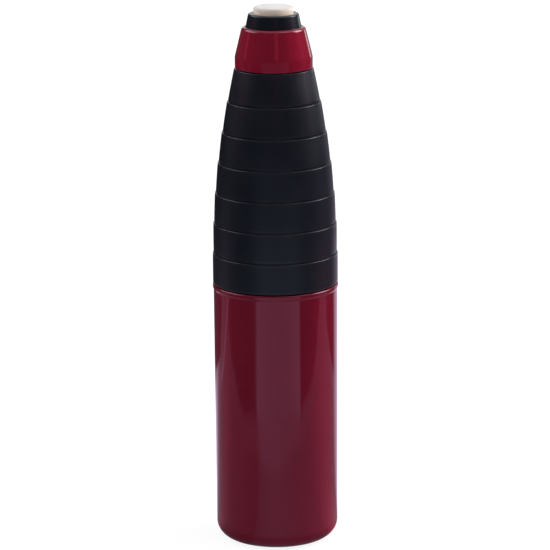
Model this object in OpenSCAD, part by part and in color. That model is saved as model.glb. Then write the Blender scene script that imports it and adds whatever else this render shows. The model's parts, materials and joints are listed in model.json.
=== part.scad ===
// Pencil sharpener with a shavings container and a twist-out eraser in its upper end.
// The origin is the centre of the container's flat base, and +Z points up to the eraser.
// Turning the red collar turns the slotted guide tube. Its slots carry the eraser cup's two
// lugs round, and the lugs climb the two spiral grooves of the sleeve fixed in the barrel.

/* [Container] */
// Outside diameter of the container just below its rim
body_d = 19.82; // [19:0.01:26]
// Height of the container
container_h = 42.2; // [40:0.1:60]
// How much smaller the container's radius is at its base
container_draft = 0.12; // [0:0.01:0.4]
// Wall of the container at its rim
container_wall = 1.16; // [1:0.01:1.6]
// Thickness of the container's base
base_t = 1.6; // [1.2:0.1:3]
// Rounding of the outer base edge
base_fillet = 2.6; // [0.6:0.1:3]
// Height of the bead round the rim
lip_h = 0.7; // [0.5:0.1:2]
// How far the bead stands out
lip_out = 0.14; // [0.05:0.01:0.3]

/* [Sharpener] */
// Diameter of the pencil hole
pencil_bore_d = 8.2; // [7.6:0.1:9]
// Angle between the pencil cone's side and its axis
cone_angle = 11.5; // [10:0.5:13]
// Wall of the guide's neck round the pencil hole
guide_wall = 0.8; // [0.6:0.1:1.2]
// How far the guide's face lies inside the base plane
guide_recess = 0.4; // [0:0.1:0.8]
// Width of the guide's visible ring round its neck
guide_face = 0.9; // [0.6:0.1:1.4]
// Width of the flange that rests on the container's floor
flange_w = 1.6; // [1:0.1:1.8]
// Thickness of that flange
flange_t = 1; // [0.8:0.1:1.5]
// Height of the guide's neck above its flange
neck_h = 3.4; // [2.5:0.1:5]
// Width of the sharpener block
block_w = 12.6; // [12:0.1:14]
// Distance from the pencil's axis to the block's back
block_back = 5.6; // [5.2:0.1:6]
// Blade's length
blade_l = 19; // [17:0.5:20]
// Blade's width
blade_w = 6.3; // [5.5:0.1:6.4]
// Blade's thickness
blade_t = 0.5; // [0.4:0.05:0.7]
// Width of the ground bevel on the cutting edge
bevel_w = 0.9; // [0.5:0.1:1.2]
// Diameter of the blade screw's head
screw_head_d = 4.4; // [3.8:0.1:4.8]
// Diameter of the blade screw's shank
screw_d = 2.2; // [1.8:0.1:2.4]

/* [Barrel] */
// Length of the spigot inside the container
spigot_l = 6.6; // [4:0.1:7.5]
// Wall of the spigot
spigot_wall = 1.1; // [0.8:0.1:1.4]
// Wall of the barrel under the grip
barrel_wall = 1.1; // [0.8:0.1:1.4]
// Height of the neck inside the collar
collar_neck_h = 2.1; // [1.8:0.1:2.4]
// Wall of that neck
collar_neck_wall = 1.03; // [0.9:0.01:1.1]
// Thickness of the plug's disk
plug_t = 1.5; // [1.2:0.1:2]
// Wall of the plug's socket
socket_wall = 0.9; // [0.7:0.1:1.1]
// How far the sleeve reaches into the socket
socket_depth = 4.5; // [3:0.1:6]

/* [Grip] */
// Height of the ribbed grip
grip_h = 34.6; // [32:0.1:40]
// How far the grip's lower end stands out past the container's wall
grip_over = 0.09; // [0:0.01:0.15]
// Diameter of the grip at its top edge
grip_top_d = 12.54; // [12.5:0.01:13.4]
// How full the grip's outline is between its ends
grip_swell = 2.1; // [1.6:0.1:2.6]
// Wall of the grip sleeve, measured to the crest of the ribs
grip_wall = 0.9; // [0.8:0.05:1]
// Number of ribs
rib_count = 7; // [5:1:9]
// Height of the uppermost rib
top_rib_h = 5.26; // [3.5:0.01:6]
// Height of the straight stretch at the grip's lower end
grip_straight = 2.7; // [1:0.1:6]
// How far each rib's lower end lies inside the next rib's crest
rib_step = 0.13; // [0.05:0.01:0.2]
// Depth of the grooves between the ribs
groove_d = 0.22; // [0.15:0.01:0.3]
// Width of the grooves between the ribs
groove_w = 0.2; // [0.15:0.01:0.5]
// Rounding of the ribs' crests
crest_r = 0.1; // [0.08:0.01:0.2]
// Rounding of the grip's lower edge
grip_edge_r = 0.55; // [0.2:0.05:0.7]

/* [Nose] */
// Diameter of the collar's band
collar_d = 12.3; // [12.1:0.1:12.6]
// Height of the collar
collar_h = 6.45; // [6:0.05:8]
// Height of the collar's straight band
band_h = 1.75; // [1.2:0.05:2.4]
// Wall of the collar at its top opening
collar_lip = 0.67; // [0.5:0.01:0.9]
// Width of the flat left on the collar's top, inside its rounded edge
collar_flat = 0.1; // [0.05:0.01:0.3]
// Wall of the tip ring at the collar
tip_wall = 0.48; // [0.4:0.01:0.6]
// Height of the tip ring above the collar
tip_h = 2.1; // [1.5:0.05:3]
// How much the tip ring's radius shrinks over that height
tip_taper = 0.42; // [0.1:0.01:0.5]
// Rounding of the tip ring's top edge
tip_edge_r = 0.16; // [0.08:0.01:0.2]

/* [Eraser] */
// Diameter of the eraser
eraser_d = 6.34; // [6:0.01:6.5]
// Length of the eraser
eraser_l = 33.4; // [30:0.1:35]
// How far the eraser stands out of the tip
eraser_out = 1.1; // [0.6:0.05:1.5]
// Rounding of the eraser's top edge
eraser_edge_r = 0.4; // [0.3:0.05:1.2]
// Wall of the eraser cup
cup_wall = 0.3; // [0.25:0.01:0.35]
// Thickness of the eraser cup's floor
cup_floor = 1; // [0.8:0.1:1.5]
// Height of the eraser cup
cup_h = 6; // [4:0.1:8]
// How far the eraser can be drawn back from where it stands
retract = 1.5; // [1:0.1:2]

/* [Twist mechanism] */
// Wall of the guide tube
tube_wall = 0.45; // [0.4:0.01:0.5]
// Rise of the spiral grooves for one turn
lead = 10; // [8:0.5:14]
// Diameter of the cup's lugs
lug_d = 1.3; // [1:0.1:1.5]
// Depth of the spiral grooves
spiral_d = 0.5; // [0.4:0.01:0.55]
// Wall left behind the spiral grooves
spiral_wall = 0.4; // [0.3:0.01:0.45]
// Length of the spiral sleeve that the barrel's upper bore holds
sleeve_hold = 8; // [5:0.5:10]
// Thickness of the retaining ring
ring_t = 1; // [0.8:0.1:1.2]
// Diameter of the damping ring's section
damper_d = 0.7; // [0.6:0.05:0.8]

/* [Fits] */
// Gap between the container's rim and the grip
joint_gap = 0.1; // [0.05:0.01:0.2]
// Gap between the grip's top and the collar
twist_gap = 0.15; // [0.08:0.01:0.25]
// Radial clearance of pieces that slide or turn
run_gap = 0.05; // [0.03:0.01:0.08]
// Gap between pieces that are pressed or glued together
seat_gap = 0.02; // [0.01:0.005:0.03]
// Gap round the lugs in the spiral grooves
lug_gap = 0.15; // [0.1:0.01:0.2]

/* [Hidden] */
$fn = 96;
e = 0.01;
// How far a cutter reaches past the face it cuts
over = 1;

// Radii of the container
body_r = body_d / 2;
bore_r = body_r - container_wall;
rim_chamfer = 0.15;

// Radius of the grip at its lower end
grip_r = body_r + grip_over;

// Radii and heights of the pencil guide and the sharpener block
pencil_r = pencil_bore_d / 2;
guide_neck_r = pencil_r + guide_wall;
guide_r = guide_neck_r + guide_face;
flange_r = guide_r + flange_w;
flange_top = base_t + seat_gap + flange_t;
guide_top = flange_top + neck_h;
floor_fillet = min(1.2, bore_r - flange_r - 5 * seat_gap);
block_z = flange_top + seat_gap;
cone_z = guide_top + seat_gap;
apex_z = cone_z + pencil_r / tan(cone_angle);
// Metal left above the cone's point
point_cover = 1.3;
block_top = apex_z + point_cover;
collar_wall = 0.9;
block_front = guide_neck_r + seat_gap + collar_wall;
block_clear = 0.35;
// The blade's seat starts this far up the cone and lies this far inside the cone's side
seat_rise = 1;
cone_open = 0.55;
seat_z = cone_z + seat_rise;
seat_y = ((apex_z - seat_z) * sin(cone_angle) - cone_open) / cos(cone_angle);
// Place of the cutting edge and of the blade's lower end on the seat
edge_x = -0.15;
blade_z = 0.4;
screw_x = edge_x + bevel_w + screw_head_d / 2 + blade_z;
screw_z = blade_z + blade_l / 2;
screw_head_t = 1;
shank_l = 4.2;

// Radii of the twist mechanism, from the eraser outwards
eraser_r = eraser_d / 2;
cup_r = eraser_r + cup_wall;
tube_in = cup_r + run_gap;
tube_r = tube_in + tube_wall;
sleeve_in = tube_r + run_gap;
groove_r = sleeve_in + spiral_d;
// Angle between the steps of the spiral grooves, whose floor the lugs' end corners clear
spiral_step = 15;
lug_r = sqrt(pow(groove_r * cos(spiral_step / 2) - run_gap / 2, 2) - pow(lug_d / 2, 2));
sleeve_r = groove_r + spiral_wall;
neck_in = tube_r + 2 * run_gap;
neck_r = neck_in + collar_neck_wall;
damper_r = neck_r - damper_d / 7;
counterbore_r = damper_r + damper_d / 2 + run_gap * 0.6;
tip_r = tube_r + tip_wall;
ring_seat_r = tube_r - tube_wall * 0.45;

// Heights from the container's rim up to the eraser's top
grip_z = container_h + joint_gap;
grip_top = grip_z + grip_h;
shoulder_z = grip_top - 2 * run_gap;
neck_top = grip_top + collar_neck_h;
damper_z = grip_top + collar_neck_h * 0.62;
collar_z = grip_top + twist_gap;
collar_top = collar_z + collar_h;
tip_top = collar_top + tip_h;
// How deep the tip ring and the guide tube's upper end lie below the collar's top
tip_depth = 2.45;
tube_depth = 0.45;
tip_seat = collar_top - tip_depth;
tube_top = collar_top - tube_depth;
eraser_top = tip_top + eraser_out;

// Heights of the mechanism, down from the eraser's top
core_z = eraser_top - eraser_l;
cup_z = core_z - cup_floor;
// Material of the cup below its lugs, and of the barrel above the sleeve
lug_cover = 0.45;
barrel_top_t = 1.2;
// Length of the guide tube below its ring, and the free height between the tube and the plug
tube_end = 0.8;
plug_clear = 1.9;
// Length of groove left above the lugs when the eraser is fully out
lug_reserve = 2.2;
lug_z = cup_z + lug_d / 2 + lug_cover;
sleeve_top = shoulder_z - barrel_top_t;
ring_top = lug_z - retract - lug_d / 2 - run_gap;
sleeve_z = ring_top + 2 * run_gap;
ring_z = ring_top - ring_t;
tube_z = ring_z - tube_end;
plug_top = tube_z - plug_clear;
plug_z = plug_top - plug_t;
travel = sleeve_top - lug_z - lug_reserve;
spigot_z = container_h - spigot_l;
spigot_in = bore_r - run_gap - spigot_wall;
// The barrel's bore steps in above the plug
plug_ledge = 0.5;
shell_in = spigot_in - plug_ledge;
ceiling_z = sleeve_top - sleeve_hold;

// Spiral grooves, which run out through the sleeve's lower end
mean_r = (tube_r + groove_r) / 2;
spiral_w = (lug_d + 2 * lug_gap) * sqrt(1 + pow(lead / (2 * PI * mean_r), 2));
spiral_from = (sleeve_z - spiral_w / 2 - 2 * lug_gap - lug_z) / lead * 360;
spiral_to = travel / lead * 360 + asin((lug_d / 2 + 2 * lug_gap) / tube_r);
spiral_steps = ceil((spiral_to - spiral_from) / spiral_step);

// Ribs
rib_pitch = (grip_h - top_rib_h) / (rib_count - 1);
skin_steps = 14;
side_steps = 4;
arc_steps = 8;

function rib_top(i) = i == rib_count - 1 ? grip_top : grip_z + (i + 1) * rib_pitch;
function rib_low(i) = i == 0 ? grip_z : rib_top(i - 1) + groove_w;

// The grip's outline swells along a curve from its top edge down to its straight lower end
function outline_r(z) =
    let (low = grip_z + grip_straight, t = max(0, (z - low) / (grip_top - low)))
    grip_r - (grip_r - grip_top_d / 2) * pow(t, grip_swell);

// The face where the barrel meets the inside of the grip
function skin_z(i) = grip_z + grip_h * i / skin_steps;
function skin_r(z) = outline_r(z) - grip_wall;

function arc(x, y, r, a, b) =
    [for (i = [0 : arc_steps]) let (t = a + (b - a) * i / arc_steps) [x + r * cos(t), y + r * sin(t)]];

// A rib's side, from its tucked-in lower end to its rounded crest
function rib_side(i) =
    let (
        low = rib_low(i),
        top = rib_top(i),
        edge = i == 0 ? grip_edge_r : crest_r,
        tuck = i == 0 ? 0 : rib_step,
        low_r = outline_r(low + edge) - tuck,
        top_r = outline_r(top - crest_r)
    )
    concat(
        arc(low_r - edge, low + edge, edge, -90, 0),
        [for (k = [1 : side_steps - 1]) let (t = k / side_steps, z = low + edge + (top - low - edge - crest_r) * t)
            [outline_r(z) - tuck * (1 - t), z]],
        arc(top_r - crest_r, top - crest_r, crest_r, 0, 90)
    );

function groove_floor(i) =
    let (r = outline_r(rib_top(i)) - rib_step - groove_d)
    [[r, rib_top(i)], [r, rib_top(i) + groove_w]];

// One spiral groove as a solid: a radial slot swept round the axis while it climbs
module spiral_cut(start) {
    inner = tube_in;
    outer = groove_r;
    ring = [[inner, -spiral_w / 2], [outer, -spiral_w / 2], [outer, spiral_w / 2], [inner, spiral_w / 2]];
    points = [
        for (i = [0 : spiral_steps])
            let (a = spiral_from + (spiral_to - spiral_from) * i / spiral_steps)
            for (p = ring)
                [p[0] * cos(a + start), p[0] * sin(a + start), lug_z + lead * a / 360 + p[1]]
    ];
    sides = [
        for (i = [0 : spiral_steps - 1], k = [0 : 3])
            let (a = 4 * i + k, b = 4 * i + (k + 1) % 4)
            each [[a, b, a + 4], [b, b + 4, a + 4]]
    ];
    last = 4 * spiral_steps;
    caps = [for (k = [1, 2]) each [[0, k + 1, k], [last, last + k, last + k + 1]]];
    polyhedron(points = points, faces = concat(sides, caps), convexity = 10);
}

// Frame of the blade's seat: X across the blade, Y out of the seat, Z along the pencil cone's side
module on_seat() {
    translate([0, seat_y, seat_z])
        rotate([cone_angle, 0, 0])
            children();
}

module tube(outer, inner, low, top) {
    translate([0, 0, low])
        difference() {
            cylinder(r = outer, h = top - low);
            translate([0, 0, -e])
                cylinder(r = inner, h = top - low + 2 * e);
        }
}

module container() {
    base_r = body_r - container_draft;
    lip_r = body_r + lip_out;
    lip_edge = lip_h / 3;
    color([0.40, 0.06, 0.12])
        difference() {
            rotate_extrude()
                polygon(concat(
                    [[0, 0]],
                    arc(base_r - base_fillet, base_fillet, base_fillet, -90, 0),
                    [[body_r, container_h - lip_h - lip_out]],
                    [[lip_r, container_h - lip_h]],
                    arc(lip_r - lip_edge, container_h - lip_edge, lip_edge, 0, 90),
                    [[bore_r + rim_chamfer, container_h], [bore_r, container_h - rim_chamfer]],
                    arc(bore_r - floor_fillet, base_t + floor_fillet, floor_fillet, 0, -90),
                    [[0, base_t]]
                ));
            translate([0, 0, -over])
                cylinder(r = guide_r + seat_gap, h = base_t + 2 * over);
        }
}

module pencil_guide() {
    chamfer = 0.6;
    face_z = guide_recess;
    color([0.10, 0.10, 0.12])
        difference() {
            union() {
                translate([0, 0, face_z])
                    cylinder(r = guide_r, h = flange_top - face_z);
                translate([0, 0, base_t + seat_gap])
                    cylinder(r = flange_r, h = flange_t);
                translate([0, 0, flange_top - e])
                    cylinder(r = guide_neck_r, h = neck_h + e);
            }
            translate([0, 0, face_z - over])
                cylinder(r = pencil_r, h = guide_top + 2 * over);
            translate([0, 0, face_z - e])
                cylinder(r1 = pencil_r + chamfer, r2 = pencil_r, h = chamfer);
        }
}

module sharpener_block() {
    point_r = 0.35;
    gap_x = edge_x + 0.05;
    chip_slope = 0.28;
    color([0.72, 0.73, 0.75])
        difference() {
            translate([0, 0, block_z])
                linear_extrude(block_top - block_z)
                    intersection() {
                        translate([-block_w / 2, -block_back])
                            square([block_w, block_back + block_front]);
                        circle(r = bore_r - block_clear);
                    }
            translate([0, 0, block_z - over])
                cylinder(r = guide_neck_r + seat_gap, h = cone_z - block_z + over);
            translate([0, 0, cone_z - e])
                cylinder(r1 = pencil_r, r2 = point_r, h = (pencil_r - point_r) / tan(cone_angle) + e);
            on_seat()
                translate([-block_w, 0, 0])
                    cube([2 * block_w, 2 * block_w, 2 * block_top]);
            on_seat()
                linear_extrude(2 * block_top)
                    polygon([[gap_x, 0], [-block_w, -block_w * chip_slope], [-block_w, over], [gap_x, over]]);
            on_seat()
                translate([screw_x, e, screw_z])
                    rotate([90, 0, 0])
                        cylinder(r = screw_d / 2 + seat_gap, h = shank_l + 10 * seat_gap);
        }
}

module blade() {
    color([0.80, 0.82, 0.85])
        on_seat()
            difference() {
                translate([edge_x, seat_gap, blade_z])
                    linear_extrude(blade_l)
                        polygon([[0, 0], [blade_w, 0], [blade_w, blade_t], [bevel_w, blade_t]]);
                translate([screw_x, -over, screw_z])
                    rotate([-90, 0, 0])
                        cylinder(r = screw_d / 2 + 2 * run_gap, h = blade_t + 2 * over);
            }
}

module blade_screw() {
    slot_w = 0.6;
    rim_t = screw_head_t * 0.6;
    top_r = screw_head_d * 0.36;
    color([0.75, 0.72, 0.62])
        on_seat()
            translate([screw_x, 0, screw_z])
                rotate([-90, 0, 0])
                    difference() {
                        union() {
                            translate([0, 0, -shank_l])
                                cylinder(r = screw_d / 2, h = shank_l + blade_t + 3 * seat_gap);
                            translate([0, 0, blade_t + 2 * seat_gap]) {
                                cylinder(r = screw_head_d / 2, h = rim_t);
                                translate([0, 0, rim_t - e])
                                    cylinder(r1 = screw_head_d / 2, r2 = top_r, h = screw_head_t - rim_t + e);
                            }
                        }
                        translate([-screw_head_d, -slot_w / 2, blade_t + screw_head_t - rim_t])
                            cube([2 * screw_head_d, slot_w, screw_head_t]);
                    }
}

module barrel() {
    slot_h = damper_d + run_gap;
    slot_r = damper_r - damper_d / 2 - seat_gap;
    fit_r = bore_r - run_gap;
    lead_in = 0.4;
    neck_edge = 0.2;
    color([0.12, 0.12, 0.14])
        rotate_extrude()
            polygon(concat(
                [[spigot_in, spigot_z]],
                [[fit_r - lead_in, spigot_z], [fit_r, spigot_z + 1.5 * lead_in]],
                [[fit_r, grip_z]],
                [for (i = [0 : skin_steps - 1]) [skin_r(skin_z(i)) - seat_gap, skin_z(i)]],
                [[skin_r(grip_top) - seat_gap, shoulder_z]],
                [[neck_r, shoulder_z], [neck_r, damper_z - slot_h / 2]],
                [[slot_r, damper_z - slot_h / 2], [slot_r, damper_z + slot_h / 2]],
                [[neck_r, damper_z + slot_h / 2]],
                [[neck_r, neck_top - neck_edge], [neck_r - neck_edge, neck_top]],
                [[neck_in, neck_top], [neck_in, sleeve_top + seat_gap]],
                [[sleeve_r + seat_gap, sleeve_top + seat_gap], [sleeve_r + seat_gap, ceiling_z]],
                [for (i = [skin_steps - 1 : -1 : 1])
                    if (skin_z(i) < ceiling_z && skin_z(i) > plug_top + plug_ledge)
                        [min(shell_in, skin_r(skin_z(i)) - barrel_wall), skin_z(i)]],
                [[shell_in, plug_top + seat_gap], [spigot_in, plug_top + seat_gap]]
            ));
}

module ribbed_grip() {
    color([0.10, 0.11, 0.13])
        rotate_extrude()
            polygon(concat(
                [[skin_r(grip_z), grip_z]],
                [for (i = [0 : rib_count - 1]) each concat(
                    rib_side(i),
                    i < rib_count - 1 ? groove_floor(i) : []
                )],
                [for (i = [skin_steps : -1 : 1]) [skin_r(skin_z(i)), skin_z(i)]]
            ));
}

module barrel_plug() {
    socket_in = sleeve_r + seat_gap;
    color([0.16, 0.16, 0.18])
        difference() {
            union() {
                translate([0, 0, plug_z])
                    cylinder(r = spigot_in - seat_gap, h = plug_t);
                translate([0, 0, plug_top - e])
                    cylinder(r = socket_in + socket_wall, h = sleeve_z + socket_depth - plug_top + e);
            }
            translate([0, 0, plug_top])
                cylinder(r = socket_in, h = sleeve_z + socket_depth - plug_top + over);
        }
}

module spiral_sleeve() {
    color([0.86, 0.86, 0.84])
        difference() {
            tube(sleeve_r, sleeve_in, sleeve_z, sleeve_top);
            spiral_cut(0);
            spiral_cut(180);
        }
}

module nose_collar() {
    top_r = tip_r + collar_lip;
    edge_r = collar_lip - seat_gap - collar_flat;
    r = collar_d / 2;
    low_edge = 0.1;
    ceiling = neck_top + 3 * low_edge;
    color([0.42, 0.06, 0.11])
        rotate_extrude()
            polygon(concat(
                [[counterbore_r, collar_z], [r - low_edge, collar_z], [r, collar_z + low_edge]],
                [[r, collar_z + band_h]],
                arc(top_r - edge_r, collar_top - edge_r, edge_r, 12, 90),
                [[tip_r + seat_gap, collar_top], [tip_r + seat_gap, tip_seat - seat_gap]],
                [[tube_r + seat_gap, tip_seat - seat_gap], [tube_r + seat_gap, ceiling]],
                [[counterbore_r, ceiling]]
            ));
}

module tip_ring() {
    mouth_r = eraser_r + run_gap;
    top_r = tip_r - tip_taper;
    mouth_edge = 0.06;
    taper_z = collar_top - 0.2;
    color([0.09, 0.09, 0.11])
        rotate_extrude()
            polygon(concat(
                [[tube_r + seat_gap, tip_seat], [tip_r, tip_seat], [tip_r, taper_z]],
                arc(top_r - tip_edge_r, tip_top - tip_edge_r, tip_edge_r, 8, 90),
                [[mouth_r + mouth_edge, tip_top], [mouth_r, tip_top - mouth_edge], [mouth_r, tube_top + seat_gap]],
                [[tube_r + seat_gap, tube_top + seat_gap]]
            ));
}

module guide_tube() {
    slot_w = lug_d + 4 * run_gap;
    slot_top = lug_z + travel + lug_d / 2 + 5 * run_gap;
    color([0.82, 0.82, 0.80])
        difference() {
            tube(tube_r, tube_in, tube_z, tube_top);
            translate([-tube_r - over, -slot_w / 2, tube_z - over])
                cube([2 * (tube_r + over), slot_w, slot_top - tube_z + over]);
            tube(tube_r + over, ring_seat_r, ring_z - seat_gap, ring_top + seat_gap);
        }
}

module retaining_ring() {
    ring_in = ring_seat_r + seat_gap;
    ring_r = (sleeve_r + groove_r) / 2;
    split_w = 1.2;
    color([0.70, 0.71, 0.73])
        difference() {
            tube(ring_r, ring_in, ring_z, ring_top);
            translate([-split_w / 2, 0, ring_z - over])
                cube([split_w, ring_r + over, ring_t + 2 * over]);
        }
}

module damping_ring() {
    color([0.25, 0.25, 0.26])
        translate([0, 0, damper_z])
            rotate_extrude()
                translate([damper_r, 0])
                    circle(d = damper_d);
}

module eraser_cup() {
    color([0.88, 0.88, 0.86])
        difference() {
            union() {
                translate([0, 0, cup_z])
                    cylinder(r = cup_r, h = cup_h);
                translate([-lug_r, 0, lug_z])
                    rotate([0, 90, 0])
                        cylinder(d = lug_d, h = 2 * lug_r);
            }
            translate([0, 0, core_z - seat_gap])
                cylinder(r = eraser_r + seat_gap, h = cup_h);
        }
}

module eraser_core() {
    color([0.88, 0.85, 0.80])
        rotate_extrude()
            polygon(concat(
                [[0, core_z], [eraser_r, core_z]],
                arc(eraser_r - eraser_edge_r, eraser_top - eraser_edge_r, eraser_edge_r, 0, 90),
                [[0, eraser_top]]
            ));
}

container();
pencil_guide();
sharpener_block();
blade();
blade_screw();
barrel();
ribbed_grip();
barrel_plug();
spiral_sleeve();
nose_collar();
tip_ring();
guide_tube();
retaining_ring();
damping_ring();
eraser_cup();
eraser_core();
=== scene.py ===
import json
import math

import bpy
from mathutils import Matrix, Vector


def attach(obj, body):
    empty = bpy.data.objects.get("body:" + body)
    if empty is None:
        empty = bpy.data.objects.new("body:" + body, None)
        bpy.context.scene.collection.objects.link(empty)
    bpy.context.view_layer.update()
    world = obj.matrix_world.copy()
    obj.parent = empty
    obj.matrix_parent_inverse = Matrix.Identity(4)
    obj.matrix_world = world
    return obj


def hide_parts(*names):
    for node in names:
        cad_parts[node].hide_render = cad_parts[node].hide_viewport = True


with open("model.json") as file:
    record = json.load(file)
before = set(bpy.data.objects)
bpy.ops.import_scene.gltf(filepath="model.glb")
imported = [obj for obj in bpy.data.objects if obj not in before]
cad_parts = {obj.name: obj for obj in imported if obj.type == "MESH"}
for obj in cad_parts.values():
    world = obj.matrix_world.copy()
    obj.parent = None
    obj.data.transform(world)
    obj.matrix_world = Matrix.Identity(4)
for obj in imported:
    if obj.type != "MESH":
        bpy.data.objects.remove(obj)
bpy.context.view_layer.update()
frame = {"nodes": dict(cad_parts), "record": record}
nodes = frame["nodes"]
MM = 0.001

# Sizes in millimetres, as the solids have them. GRIP_SWELL is the power of the grip's curve.
FIT = 0.02
WALL_R = 9.91
BORE_R = 8.75
HOLE_R = 5.82
FLOOR_Z = 1.6
RIM_Z = 42.2
GRIP_R = 10.0
GRIP_TOP_R = 6.27
GRIP_Z = 42.3
GRIP_TOP = 76.9
GRIP_STRAIGHT = 2.7
GRIP_SWELL = 2.1
GRIP_WALL = 0.9
TOP_RIB_H = 5.26
RIBS = 7
TUBE_R = 3.97
COLLAR_R = 6.15
COLLAR_BORE_R = 5.38
COLLAR_Z = 77.05
COLLAR_CEILING = 79.3
COLLAR_TOP = 83.5
TIP_R = 4.45
TIP_SEAT = 81.05
TIP_FLOOR = 83.07
TIP_TOP = 85.6
ERASER_R = 3.17
ERASER_Z = 53.3
ERASER_TOP = 86.7


def arc(x, z, r, start, end, steps=16):
    """Points of an arc about (x, z), from angle start to end in degrees."""
    turns = [math.radians(start + (end - start) * i / steps) for i in range(steps + 1)]
    return [(x + r * math.cos(t), z + r * math.sin(t)) for t in turns]


def outward_bends(outline, reach=0.12, full=0.9):
    """How much the outline turns outwards within reach millimetres of each point, from 0 to 1."""
    count = len(outline)
    turns = []
    for i in range(count):
        a, b, c = (Vector(outline[(i + k) % count]) for k in (-1, 0, 1))
        before, after = b - a, c - b
        turns.append(math.atan2(before.x * after.y - before.y * after.x, before.dot(after)))
    bends = []
    for i in range(count):
        here = Vector(outline[i])
        near = [t for t, p in zip(turns, outline) if (Vector(p) - here).length < reach]
        bends.append(min(1.0, max(0.0, sum(near) / full)))
    return bends


def with_supports(outline, gap=0.05, long=0.4):
    """The closed outline with a point just inside each end of its long straights, so that they shade flat."""
    points = []
    for i, start in enumerate(outline):
        a, b = Vector(start), Vector(outline[(i + 1) % len(outline)])
        points.append(start)
        if (b - a).length > long and max(a.x, b.x) > gap:
            inward = (b - a).normalized() * gap
            points += [tuple(a + inward), tuple(b - inward)]
    return points


def lathe(name, outline, segments=160, sharp=32):
    """A smooth solid of revolution from a closed outline of (radius, height) in millimetres.
    Its attribute "edge" is 1 where the outline turns sharply outwards, for wear and polish there, and for a
    painted highlight along those edges.
    Edges that turn by more than sharp degrees stay crisp."""
    outline = with_supports(outline)
    on_axis = 1e-6
    verts, rings = [], []
    for r, z in outline:
        if r < on_axis:
            rings.append([len(verts)] * segments)
            verts.append((0, 0, z * MM))
            continue
        rings.append(range(len(verts), len(verts) + segments))
        for k in range(segments):
            a = 2 * math.pi * k / segments
            verts.append((r * MM * math.cos(a), r * MM * math.sin(a), z * MM))
    faces = []
    for i, low in enumerate(rings):
        high = rings[(i + 1) % len(rings)]
        for k in range(segments):
            n = (k + 1) % segments
            corners = list(dict.fromkeys([low[k], low[n], high[n], high[k]]))
            if len(corners) > 2:
                faces.append(corners)
    mesh = bpy.data.meshes.new(name)
    mesh.from_pydata(verts, [], faces)
    mesh.validate()
    mesh.shade_smooth()
    mesh.set_sharp_from_angle(angle=math.radians(sharp))
    wear_and_highlight = mesh.attributes.new("edge", "FLOAT", "POINT")
    for ring, bend in zip(rings, outward_bends(outline)):
        for v in ring:
            wear_and_highlight.data[v].value = bend
    piece = bpy.data.objects.new(name, mesh)
    bpy.context.scene.collection.objects.link(piece)
    return piece


class Tree:
    """Short forms for building one node tree."""

    # Places of the colour sockets among a mix node's inputs and outputs
    COLOUR_A, COLOUR_B, COLOUR_OUT = 6, 7, 2

    def __init__(self, tree):
        self.tree = tree

    def add(self, kind, values=(), **settings):
        node = self.tree.nodes.new(kind)
        for key, value in settings.items():
            setattr(node, key, value)
        for key, value in dict(values).items():
            self.put(node.inputs[key], value)
        return node

    def put(self, socket, value):
        if isinstance(value, bpy.types.NodeSocket):
            self.tree.links.new(value, socket)
        else:
            socket.default_value = value

    def math(self, operation, *values):
        return self.add("ShaderNodeMath", dict(enumerate(values)), operation=operation).outputs[0]

    def remap(self, value, low, high, to_low=0.0, to_high=1.0):
        values = {"Value": value, "From Min": low, "From Max": high, "To Min": to_low, "To Max": to_high}
        return self.add("ShaderNodeMapRange", values).outputs["Result"]

    def blend(self, factor, a, b):
        """A plain number from a to b."""
        return self.add("ShaderNodeMix", {"Factor": factor, "A": a, "B": b}).outputs[0]

    def tint(self, factor, a, b):
        """A colour from a to b."""
        node = self.add("ShaderNodeMix", {"Factor": factor}, data_type="RGBA")
        for place, colour in ((self.COLOUR_A, a), (self.COLOUR_B, b)):
            self.put(node.inputs[place], (*colour, 1) if isinstance(colour, tuple) else colour)
        return node.outputs[self.COLOUR_OUT]

    def either(self, factor, a, b):
        """The shader a where factor is 0, and b where it is 1."""
        return self.add("ShaderNodeMixShader", {0: factor, 1: a, 2: b}).outputs[0]

    def glow(self, colour, strength):
        return self.add("ShaderNodeEmission", {"Color": colour, "Strength": strength}).outputs[0]

    def here(self):
        """Object coordinates in metres."""
        return self.add("ShaderNodeTexCoord").outputs["Object"]

    def axes(self, where):
        return self.add("ShaderNodeSeparateXYZ", {"Vector": where}).outputs

    def length(self, where):
        return self.add("ShaderNodeVectorMath", {0: where}, operation="LENGTH").outputs["Value"]

    def place(self, stretch=(1, 1, 1)):
        """Object coordinates in millimetres, stretched."""
        scale = tuple(s / MM for s in stretch)
        return self.add("ShaderNodeMapping", {"Vector": self.here(), "Scale": scale}).outputs[0]

    def noise(self, where, size, detail, roughness=0.5):
        """Noise whose blobs are about size millimetres across."""
        values = {"Vector": where, "Scale": 1 / size, "Detail": detail, "Roughness": roughness}
        return self.add("ShaderNodeTexNoise", values).outputs[0]


def new_material(name):
    material = bpy.data.materials.new(name)
    material.use_nodes = True
    tree = Tree(material.node_tree)
    return material, tree, material.node_tree.nodes["Principled BSDF"]


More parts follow.
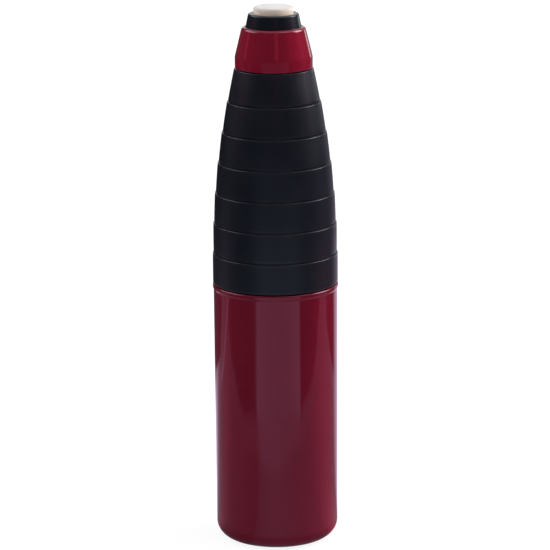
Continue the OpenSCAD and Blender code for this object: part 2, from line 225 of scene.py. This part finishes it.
def finish_of(name, dark, light, patch, grain, depth, rough, fixed, stretch=(1, 1, 1), wear_and_highlight=None, top=None):
    """A moulded or ground surface: colour in patches, a fine grain that bumps it, and uneven gloss.
    patch and grain are sizes in millimetres, depth the grain's height in millimetres.
    rough is the roughness of the glossiest and the dullest places, fixed holds the shader's constants.
    stretch draws the grain out; the wear colour and roughness go on sharp outward edges, whose lighter colour
    is partly wear and partly a painted highlight.
    top is two heights in millimetres and the colour that the surface turns to between them. This is painted
    light and shade: the sides below stay warmer, as if in warm bounced shade, and the top turns greyer."""
    fine_share, cloud_share, least_wear_and_highlight = 0.6, 0.4, 0.5
    # Levels of the noises between which colour, gloss, and the edges' wear and painted highlight change
    colour_span, gloss_span, wear_and_highlight_span = (0.3, 0.7), (0.35, 0.65), (0.35, 0.6)
    material, tree, shader = new_material(name)
    where = tree.place()
    cloud = tree.noise(where, patch, detail=3.0)
    fine = tree.noise(tree.place(stretch), grain, detail=4.0, roughness=0.6)
    colour = tree.tint(tree.remap(cloud, *colour_span), dark, light)
    clouded = tree.math("MULTIPLY", cloud, cloud_share)
    handled = tree.math("ADD", tree.math("MULTIPLY", fine, fine_share), clouded)
    gloss = tree.remap(handled, *gloss_span, *rough)
    # Painted light and shade: the colour changes with height, warmer on the sides below and greyer at the top
    if top:
        low, high, painted_light_top_colour = top
        colour = tree.tint(tree.remap(tree.axes(where)[2], low, high), colour, painted_light_top_colour)
    if wear_and_highlight:
        wear_and_highlight_colour, worn_rough = wear_and_highlight
        # Sharp outward edges turn lighter and glossier: partly wear, partly a painted highlight along the
        # crests
        edge = tree.add("ShaderNodeAttribute", attribute_name="edge").outputs["Fac"]
        wear_and_highlight_mask = tree.math("MULTIPLY", edge, tree.remap(cloud, *wear_and_highlight_span, least_wear_and_highlight, 1.0))
        colour = tree.tint(wear_and_highlight_mask, colour, wear_and_highlight_colour)
        gloss = tree.blend(wear_and_highlight_mask, gloss, worn_rough)
    tree.put(shader.inputs["Base Color"], colour)
    tree.put(shader.inputs["Roughness"], gloss)
    bump = tree.add("ShaderNodeBump", {"Height": fine, "Strength": 1.0, "Distance": depth * MM})
    tree.put(shader.inputs["Normal"], bump.outputs[0])
    for key, value in fixed.items():
        tree.put(shader.inputs[key], value)
    return material


RED_SHINE = {"IOR": 1.45, "Specular Tint": (1.0, 0.72, 0.95, 1)}

LOOKS = {
    "red_gloss": dict(
        dark=(0.172, 0.0056, 0.0194), light=(0.192, 0.0066, 0.0218),
        patch=9.0, grain=0.9, depth=0.0006, rough=(0.06, 0.10), fixed=RED_SHINE),
    # The container's red is the collar's red made darker, a painted shade: the upright wall gets less light
    # than the upward-sloping collar
    "red_painted_shade": dict(
        dark=(0.108, 0.0035, 0.0128), light=(0.121, 0.0042, 0.0145),
        patch=9.0, grain=0.9, depth=0.0006, rough=(0.03, 0.06), fixed=RED_SHINE,
        wear_and_highlight=((0.114, 0.0038, 0.0138), 0.22)),
    "grip_black": dict(
        dark=(0.0038, 0.0056, 0.0110), light=(0.0050, 0.0072, 0.0130),
        patch=4.0, grain=0.16, depth=0.006, rough=(0.33, 0.43),
        fixed={"IOR": 1.38, "Specular Tint": (0.74, 0.90, 1.0, 1)},
        # The rib crests are lighter: partly wear, partly a painted highlight
        wear_and_highlight=((0.012, 0.012, 0.016), 0.22)),
    "tip_black": dict(
        dark=(0.0050, 0.0058, 0.0108), light=(0.0064, 0.0072, 0.0130),
        patch=3.0, grain=0.20, depth=0.003, rough=(0.20, 0.30),
        fixed={"IOR": 1.37, "Specular Tint": (0.50, 0.88, 1.0, 1)},
        # The ring's edges are lighter: partly wear, partly a painted highlight
        wear_and_highlight=((0.014, 0.014, 0.018), 0.20)),
    "black_plastic": dict(
        dark=(0.010, 0.010, 0.012), light=(0.014, 0.014, 0.016),
        patch=5.0, grain=0.22, depth=0.004, rough=(0.30, 0.42), fixed={"IOR": 1.46}),
    "natural_plastic": dict(
        dark=(0.66, 0.65, 0.60), light=(0.74, 0.73, 0.69),
        patch=3.0, grain=0.35, depth=0.002, rough=(0.26, 0.36),
        fixed={"IOR": 1.48, "Subsurface Weight": 0.25, "Subsurface Scale": 0.8 * MM}),
    "silicone": dict(
        dark=(0.030, 0.030, 0.032), light=(0.042, 0.042, 0.044),
        patch=1.5, grain=0.18, depth=0.003, rough=(0.42, 0.55), fixed={"IOR": 1.41}),
    "eraser_rubber": dict(
        dark=(0.76, 0.62, 0.52), light=(0.82, 0.70, 0.60),
        patch=1.6, grain=0.14, depth=0.012, rough=(0.78, 0.92),
        fixed={"IOR": 1.45, "Specular IOR Level": 0.3, "Subsurface Weight": 0.9,
               "Subsurface Scale": 1.1 * MM, "Subsurface Radius": (1.0, 0.75, 0.6)},
        # Painted light and shade: the warm beige sides turn greyer towards the top
        top=(ERASER_TOP - 0.8, ERASER_TOP - 0.1, (0.57, 0.55, 0.53))),
    "cast_alloy": dict(
        dark=(0.50, 0.51, 0.53), light=(0.64, 0.65, 0.67),
        patch=1.2, grain=0.25, depth=0.012, rough=(0.30, 0.46), fixed={"Metallic": 1.0}),
    "blade_steel": dict(
        dark=(0.50, 0.51, 0.54), light=(0.60, 0.61, 0.64),
        patch=2.5, grain=0.12, depth=0.004, rough=(0.18, 0.34),
        fixed={"Metallic": 1.0, "Anisotropic": 0.4}, stretch=(0.06, 1, 1)),
    "plated_steel": dict(
        dark=(0.55, 0.53, 0.48), light=(0.63, 0.61, 0.56),
        patch=0.8, grain=0.30, depth=0.003, rough=(0.16, 0.28), fixed={"Metallic": 1.0}),
}
MATERIALS = {name: finish_of(name, **look) for name, look in LOOKS.items()}


def container_outline():
    draft, fillet, inner_fillet = 0.12, 2.6, 1.2
    hole_edge, rim_edge, lip_edge = 0.1, 0.15, 0.23
    # The bead swells out by lip_out from bead_depth below the rim, over a height of bead_rise
    lip_out, bead_depth, bead_rise, bead_steps = 0.14, 0.95, 0.45, 8
    base_r, lip_r = WALL_R - draft, WALL_R + lip_out
    bead = []
    for i in range(bead_steps + 1):
        t = i / bead_steps
        bead.append((WALL_R + lip_out * t * t * (3 - 2 * t), RIM_Z - bead_depth + bead_rise * t))
    return [
        (HOLE_R, hole_edge), (HOLE_R + hole_edge, 0),
        *arc(base_r - fillet, fillet, fillet, -90, 0, 32),
        *bead,
        *arc(lip_r - lip_edge, RIM_Z - lip_edge, lip_edge, 0, 90),
        (BORE_R + rim_edge, RIM_Z), (BORE_R, RIM_Z - rim_edge),
        *arc(BORE_R - inner_fillet, FLOOR_Z + inner_fillet, inner_fillet, 0, -90),
        (HOLE_R, FLOOR_Z),
    ]


def grip_r(z):
    """The grip's outline over its ribs."""
    low = GRIP_Z + GRIP_STRAIGHT
    t = max(0.0, (z - low) / (GRIP_TOP - low))
    return GRIP_R - (GRIP_R - GRIP_TOP_R) * t ** GRIP_SWELL


def grip_outline():
    """The ribs from the foot up, then the inside from the top down.
    All ribs but the lowest are tucked in at their lower end."""
    tuck, groove_d, groove_w = 0.13, 0.10, 0.2
    crest, foot = 0.1, 0.30
    side_steps, arc_steps, inside_steps = 8, 10, 14
    pitch = (GRIP_TOP - GRIP_Z - TOP_RIB_H) / (RIBS - 1)
    outline = [(grip_r(GRIP_Z) - GRIP_WALL, GRIP_Z)]
    low = GRIP_Z
    for i in range(RIBS):
        last = i == RIBS - 1
        top = GRIP_TOP if last else GRIP_Z + (i + 1) * pitch
        edge, inset = (crest, tuck) if i else (foot, 0.0)
        low_r = grip_r(low + edge) - inset
        outline += arc(low_r - edge, low + edge, edge, -90, 0, arc_steps)
        side = top - low - edge - crest
        for k in range(1, side_steps):
            z = low + edge + side * k / side_steps
            outline.append((grip_r(z) - inset * (1 - k / side_steps), z))
        outline += arc(grip_r(top - crest) - crest, top - crest, crest, 0, 90, arc_steps)
        if not last:
            floor_r = grip_r(top) - tuck - groove_d
            outline += [(floor_r, top), (floor_r, top + groove_w)]
            low = top + groove_w
    for i in range(inside_steps, 0, -1):
        z = GRIP_Z + (GRIP_TOP - GRIP_Z) * i / inside_steps
        outline.append((grip_r(z) - GRIP_WALL, z))
    return outline


def collar_outline():
    low_edge, low_round = 0.1, 0.03
    lip, top_edge = 0.67, 0.55
    # The band bends into the cone: how far in, and how far above the collar's lower end
    bend = ((0, 1.6), (0.008, 1.75), (0.045, 1.93))
    return [
        (COLLAR_BORE_R, COLLAR_Z), (COLLAR_R - low_edge, COLLAR_Z),
        (COLLAR_R - low_round, COLLAR_Z + low_round), (COLLAR_R, COLLAR_Z + low_edge),
        *[(COLLAR_R - inset, COLLAR_Z + rise) for inset, rise in bend],
        *arc(TIP_R + lip - top_edge, COLLAR_TOP - top_edge, top_edge, 12, 90),
        (TIP_R + FIT, COLLAR_TOP), (TIP_R + FIT, TIP_SEAT - FIT),
        (TUBE_R + FIT, TIP_SEAT - FIT), (TUBE_R + FIT, COLLAR_CEILING), (COLLAR_BORE_R, COLLAR_CEILING),
    ]


def tip_outline():
    # The ring is straight inside the collar and tapers from taper_depth below the collar's top
    taper, taper_depth, top_edge = 0.42, 0.2, 0.28
    mouth_gap, mouth_edge, mouth_round = 0.05, 0.06, 0.02
    top_r, mouth_r = TIP_R - taper, ERASER_R + mouth_gap
    return [
        (TUBE_R + FIT, TIP_SEAT), (TIP_R, TIP_SEAT), (TIP_R, COLLAR_TOP - taper_depth),
        *arc(top_r - top_edge, TIP_TOP - top_edge, top_edge, 8, 90),
        (mouth_r + mouth_edge, TIP_TOP), (mouth_r + mouth_round, TIP_TOP - mouth_round),
        (mouth_r, TIP_TOP - mouth_edge), (mouth_r, TIP_FLOOR), (TUBE_R + FIT, TIP_FLOOR),
    ]


def eraser_outline():
    low_edge, top_edge = 0.1, 0.4
    # The top is slightly domed: radii, and how far each lies below the highest point
    dome = ((1.6, 0.006), (1.0, 0.002), (0, 0))
    return [
        (0, ERASER_Z), (ERASER_R - low_edge, ERASER_Z), (ERASER_R, ERASER_Z + low_edge),
        *arc(ERASER_R - top_edge, ERASER_TOP - top_edge, top_edge, 0, 84, 24),
        *[(r, ERASER_TOP - sunk) for r, sunk in dome],
    ]


# Node, body and outline of each piece that is turned anew with a finer outline
TURNED = (
    ("container", "container", container_outline()),
    ("ribbed_grip", "barrel", grip_outline()),
    ("nose_collar", "nose", collar_outline()),
    ("tip_ring", "nose", tip_outline()),
    ("eraser_core", "eraser", eraser_outline()),
)
SLOTS = {part["node"]: part["material_slot"] for part in frame["record"]["subparts"]}

FINISHES = {node: MATERIALS[slot] for node, slot in SLOTS.items()}
# Painted shade: the container gets a darker copy of the collar's red, since its upright wall is less lit
FINISHES["container"] = MATERIALS["red_painted_shade"]

for node, body, outline in TURNED:
    piece = lathe(node + "_turned", outline)
    piece.data.materials.append(FINISHES[node])
    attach(piece, body)
    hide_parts(node)

for node, thing in nodes.items():
    finish = FINISHES[node]
    if thing.material_slots:
        for holder in thing.material_slots:
            holder.material = finish
    else:
        thing.data.materials.append(finish)


# Studio. A direction round the object is in degrees from the camera's side, towards +X.
WHITE = (1, 1, 1, 1)
# Red of the strips that put painted red streaks and spots into the gloss of the red pieces
RED_GLOW = (1.0, 0.10, 0.17, 1)
# A height near the object's middle, which the lamps face and the camera is placed by
MIDDLE_Z = 45 * MM
# What the floor looks like in reflections: a pale sheet round the object, and dimmer ground past its edge.
# Each pair is a direction and a level from 0 to 1.
SHEET = (
    (-180, 0.62), (-158, 0.62), (-150, 0.60), (-145, 0.55), (-136, 0.27), (-125, 0.21), (-108, 0.185),
    (-60, 0.165), (-36, 0.15), (-33, 0.165), (-28, 0.27), (-20, 0.32), (0, 0.36), (18, 0.30), (30, 0.255),
    (36, 0.23), (58, 0.23), (100, 0.22), (112, 0.20), (124, 0.17), (130, 0.20), (136, 0.45), (142, 0.56),
    (152, 0.56),
)
GROUND = (
    (-180, 0.14), (-165, 0.06), (-158, 0.04), (-122, 0.04), (-117, 0.11), (-113, 0.20), (-104, 0.21),
    (-99, 0.10), (-95, 0.065), (-60, 0.055), (-44, 0.07), (-38.8, 0.10), (-36.4, 0.25), (-34.6, 0.52),
    (-32.5, 0.61), (-20, 0.55), (0, 0.50), (24, 0.485), (36, 0.55), (42.5, 0.58), (44.8, 0.10), (48, 0.055),
    (84, 0.05), (90, 0.12), (94, 0.19), (100, 0.22), (106, 0.09), (112, 0.03), (131, 0.03), (136, 0.25),
    (141, 0.56), (152, 0.60),
)
# Each pair is a direction and how far the sheet's edge is from the object's axis, in millimetres
SHEET_EDGE = (
    (-158, 90), (-145, 106), (-135, 112), (-125, 117), (-115, 166), (-110, 188), (-101, 188), (-97, 145),
    (-88, 120), (-80, 109), (-70, 92), (-60, 84), (-42, 88), (-34, 80), (-28, 72), (0, 70), (18, 76),
    (38, 82), (44.5, 84), (48, 92), (58, 97), (70, 108), (76, 120), (82, 141), (88, 165), (93, 186),
    (101, 186), (106, 146), (112, 134), (120, 118), (128, 110), (138, 100),
)
# A red glow on the floor at both sides, as light gets through the tinted wall there
RED_FLOOR = (
    (-120, 0.0), (-112, 0.08), (-106, 0.22), (-98, 0.24), (-90, 0.05), (-84, 0.0), (60, 0.0), (67, 0.10),
    (77, 0.30), (85, 0.55), (93, 0.62), (101, 0.45), (109, 0.32), (117, 0.22), (125, 0.12), (135, 0.0),
)


def shades(tree, turn, stops):
    """A ramp of levels over the direction, from pairs of (degrees, level). turn is 0 behind the object,
    0.5 on the camera's side and 1 behind it again."""
    ramp = tree.add("ShaderNodeValToRGB", {"Fac": turn})
    elements = ramp.color_ramp.elements
    while len(elements) < len(stops):
        elements.new(0.5)
    for element, (angle, level) in zip(elements, stops):
        element.position = (angle + 180) / 360
        element.color = (level, level, level, 1)
    return ramp.outputs[0]


def sheet_and_ground(tree, x, away, turn, aside):
    """The level of the sheet or the ground, with a faint light rim along the sheet's edge.
    Distances from that edge are shares of span, a length in metres."""
    span = 0.2
    edge = shades(tree, turn, [(angle, reach * MM / span) for angle, reach in SHEET_EDGE])
    past = tree.math("SUBTRACT", tree.math("DIVIDE", away, span), edge)
    # The edge is soft near x = 0 and crisp further out to the sides
    near, far, soft, crisp = 0.04, 0.06, 0.09, 0.01
    blur = tree.remap(tree.math("ABSOLUTE", x), near, far, soft, crisp)
    step = tree.remap(past, tree.math("MULTIPLY", blur, -1.0), blur)
    level = tree.blend(step, shades(tree, turn, SHEET), shades(tree, turn, GROUND))
    # The rim is stronger up to front turns from the camera's side than past back turns
    rim_inset, rim_width = 0.06, 0.07
    front, back, front_rim, back_rim = 0.125, 0.20, 0.08, 0.02
    off_rim = tree.remap(tree.math("ABSOLUTE", tree.math("ADD", past, rim_inset)), 0.0, rim_width)
    rim_level = tree.remap(aside, front, back, front_rim, back_rim)
    rim = tree.math("MULTIPLY", tree.math("SUBTRACT", 1.0, off_rim), rim_level)
    return tree.math("ADD", level, rim)


def left_band(tree, x, forward):
    """The level of a light strip on the floor, which lies to the object's left and widens outwards."""
    # Along its middle line side * line_x - forward * line_y is line_off, in metres
    line_x, line_y, line_off = 0.334, 0.943, 0.078
    # Its light fades from core to brim, two slopes off that line, and grows from begins to full metres out
    core, brim, brightest = 0.02, 0.075, 0.40
    begins, full, least_side = 0.065, 0.090, 0.01
    side = tree.math("MULTIPLY", x, -1.0)
    leftward = tree.math("MULTIPLY", side, line_x)
    across = tree.math("SUBTRACT", leftward, tree.math("MULTIPLY", forward, line_y))
    off = tree.math("ABSOLUTE", tree.math("SUBTRACT", across, line_off))
    slope = tree.math("DIVIDE", off, tree.math("MAXIMUM", side, least_side))
    band = tree.remap(slope, core, brim, brightest, 0.0)
    return tree.math("MULTIPLY", band, tree.remap(side, begins, full))


def reflected(tree):
    """How bright the floor looks in a reflection, how strong its red glow is there,
    and how far the direction is from the camera's side, in turns."""
    here = tree.here()
    x, y = tree.axes(here)[:2]
    away = tree.length(here)
    forward = tree.math("MULTIPLY", y, -1.0)
    turn = tree.remap(tree.math("ARCTAN2", x, forward), -math.pi, math.pi)
    aside = tree.math("ABSOLUTE", tree.math("SUBTRACT", turn, 0.5))
    level = sheet_and_ground(tree, x, away, turn, aside)
    level = tree.math("MAXIMUM", level, left_band(tree, x, forward))
    # Each range of distances from the axis is in metres. The floor is darker close to the container's foot: a
    # painted shadow in its reflection.
    contact = tree.remap(away, 0.011, 0.017, 0.45, 1.0)
    falloff = tree.remap(away, 0.19, 0.30, 1.5, 0.35)
    red_reach = tree.remap(away, 0.166, 0.180, 1.0, 0.0)
    level = tree.math("MULTIPLY", tree.math("MULTIPLY", level, contact), falloff)
    red = tree.math("MULTIPLY", shades(tree, turn, RED_FLOOR), red_reach)
    return level, red, aside


def make_floor():
    """A floor with a small opening under the container's base, so that light reaches the base from below."""
    inner, outer, drop, segments = 6.0 * MM, 2.5, 0.02 * MM, 64
    verts, faces = [], []
    for k in range(segments):
        a = 2 * math.pi * k / segments
        for r in (inner, outer):
            verts.append((r * math.cos(a), r * math.sin(a), 0))
        n = (k + 1) % segments
        faces.append((2 * k, 2 * k + 1, 2 * n + 1, 2 * n))
    mesh = bpy.data.meshes.new("floor")
    mesh.from_pydata(verts, [], faces)
    floor = bpy.data.objects.new("floor", mesh)
    floor.location = (0, 0, -drop)
    bpy.context.scene.collection.objects.link(floor)
    return floor


def floor_material():
    """White with the object's shadow where the camera looks, the studio's floor where reflections look,
    pale where light falls on it, and clear from below."""
    pale, red_light = (0.80, 0.80, 0.80, 1), (1.0, 0.03, 0.10, 1)
    front_cast, side_cast = (1.06, 0.92, 1.14), (1.10, 0.88, 1.17)
    white_glow = 1.13
    material, tree, shader = new_material("floor")
    output = shader.outputs[0].links[0].to_node
    tree.tree.nodes.remove(shader)
    ray = tree.add("ShaderNodeLightPath").outputs
    lit = tree.add("ShaderNodeBsdfDiffuse", {"Color": pale}).outputs[0]
    # Near the object the lit floor with its shadow shows faintly through the white, further out it doesn't
    white_share = tree.remap(tree.length(tree.here()), 0.03, 0.30, 0.78, 1.0)
    seen = tree.either(white_share, lit, tree.glow(WHITE, white_glow))
    level, red, aside = reflected(tree)
    cast = tree.tint(tree.remap(aside, 0.12, 0.30), front_cast, side_cast)
    glows = {0: tree.glow(cast, level), 1: tree.glow(red_light, red)}
    mirrored = tree.add("ShaderNodeAddShader", glows).outputs[0]
    looked_at = tree.math("MAXIMUM", ray["Is Camera Ray"], ray["Is Transmission Ray"])
    top = tree.either(looked_at, lit, seen)
    top = tree.either(ray["Is Glossy Ray"], top, mirrored)
    clear = tree.add("ShaderNodeBsdfTransparent").outputs[0]
    under = tree.add("ShaderNodeNewGeometry").outputs["Backfacing"]
    tree.put(output.inputs["Surface"], tree.either(under, top, clear))
    return material


def make_world():
    """White where the camera, reflections and glass look, dim as a light."""
    as_light, as_seen = 0.40, 1.0
    world = bpy.data.worlds.new("studio")
    bpy.context.scene.world = world
    world.use_nodes = True
    tree = Tree(world.node_tree)
    ray = tree.add("ShaderNodeLightPath").outputs
    direct = tree.math("MAXIMUM", ray["Is Camera Ray"], ray["Is Glossy Ray"])
    direct = tree.math("MAXIMUM", direct, ray["Is Transmission Ray"])
    background = world.node_tree.nodes["Background"]
    tree.put(background.inputs["Color"], WHITE)
    tree.put(background.inputs["Strength"], tree.remap(direct, 0, 1, as_light, as_seen))


def lamp(name, azimuth, elevation, width, height, watts, distance=0.60):
    """A softbox that faces the object's middle from that direction, in degrees."""
    a, e = math.radians(azimuth), math.radians(elevation)
    out = Vector((math.sin(a) * math.cos(e), -math.cos(a) * math.cos(e), math.sin(e)))
    data = bpy.data.lights.new(name, "AREA")
    data.shape = "RECTANGLE"
    data.size, data.size_y = width, height
    data.energy = watts
    light = bpy.data.objects.new(name, data)
    light.location = Vector((0, 0, MIDDLE_Z)) + out * distance
    light.rotation_mode = "QUATERNION"
    light.rotation_quaternion = out.to_track_quat("Z", "Y")
    light.visible_camera = False
    bpy.context.scene.collection.objects.link(light)


def reflection_card(name, start, end, low, high, dim, bright=None, radius=1.2, colour=WHITE):
    """An upright glowing card which only reflections see, dim at its foot and bright at its top: a piece of
    the room's wall, or a painted light strip.
    It reaches from start to end in degrees round the object, and from low to high in metres."""
    step_angle, fade = 6, 0.04
    steps = max(1, round((end - start) / step_angle))
    verts, faces = [], []
    for k in range(steps + 1):
        a = math.radians(start + (end - start) * k / steps)
        for z in (low, high):
            verts.append((radius * math.sin(a), -radius * math.cos(a), z))
        if k < steps:
            faces.append((2 * k, 2 * k + 1, 2 * k + 3, 2 * k + 2))
    mesh = bpy.data.meshes.new(name)
    mesh.from_pydata(verts, [], faces)
    card = bpy.data.objects.new(name, mesh)
    bpy.context.scene.collection.objects.link(card)
    for kind in ("camera", "diffuse", "transmission", "volume_scatter", "shadow"):
        setattr(card, "visible_" + kind, False)
    material, tree, shader = new_material(name)
    middle = (low + high) / 2
    height = tree.axes(tree.here())[2]
    level = tree.remap(height, middle - fade, middle + fade, dim, dim if bright is None else bright)
    tree.put(shader.outputs[0].links[0].to_node.inputs["Surface"], tree.glow(colour, level))
    mesh.materials.append(material)


def make_camera():
    """The photograph's view, fitted to the ellipses and the outline in it."""
    image, sensor, focal = 550, 36.0, 3124.6
    distance, elevation, roll = 0.5, math.radians(13.54), math.radians(-0.45)
    # The view aims this many pixel rows below MIDDLE_Z, and the camera stands this far to the left
    aim_rows, left = 10.4, 0.065 * MM
    data = bpy.data.cameras.new("camera")
    data.sensor_width = sensor
    data.lens = focal / image * sensor
    camera = bpy.data.objects.new("camera", data)
    bpy.context.scene.collection.objects.link(camera)
    bpy.context.scene.camera = camera
    pitch = math.pi / 2 - elevation - math.atan(aim_rows / focal)
    camera.rotation_mode = "QUATERNION"
    turned = Matrix.Rotation(pitch, 3, "X") @ Matrix.Rotation(roll, 3, "Z")
    camera.rotation_quaternion = turned.to_quaternion()
    camera.location = (-left, -distance * math.cos(elevation), MIDDLE_Z + distance * math.sin(elevation))


make_floor().data.materials.append(floor_material())
make_world()

lamp("softbox_right", 106, 32, 0.34, 0.34, 3.6)
lamp("softbox_left", -105, 37, 0.56, 0.30, 1.9)
lamp("high_lamp", 70, 60, 0.30, 0.30, 0.50)

reflection_card("room_wall", -165, 138, 0.0, 1.6, 0.06, radius=1.3)
reflection_card("room_corner", 148, 166, 0.0, 1.6, 0.35, radius=1.3)
reflection_card("strip_back", 139, 147, 0.0, 0.17, 2.4)
# Painted reflections: the red strips glow only in reflections, as red streaks and spots on the red pieces
reflection_card("strip_left", -101, -94, 0.20, 0.60, 1.7, 3.2, colour=RED_GLOW)
reflection_card("strip_left_2", -89, -80, 0.22, 0.64, 0.3, 3.0, colour=RED_GLOW)
reflection_card("strip_front", -17, -8, 0.42, 0.70, 0.3, 0.6, colour=RED_GLOW)
reflection_card("strip_front_2", 2, 9, 0.42, 0.76, 1.2, 3.2, colour=RED_GLOW)
reflection_card("strip_front_3", 9, 14, 0.42, 0.76, 2.0, 4.5, colour=RED_GLOW)
reflection_card("strip_right", 50, 90, 0.24, 0.48, 0.6, colour=RED_GLOW)
reflection_card("strip_right_2", 90, 108, 0.18, 0.60, 1.0, 3.0, colour=RED_GLOW)

make_camera()

bpy.context.scene.view_settings.view_transform = "Standard"
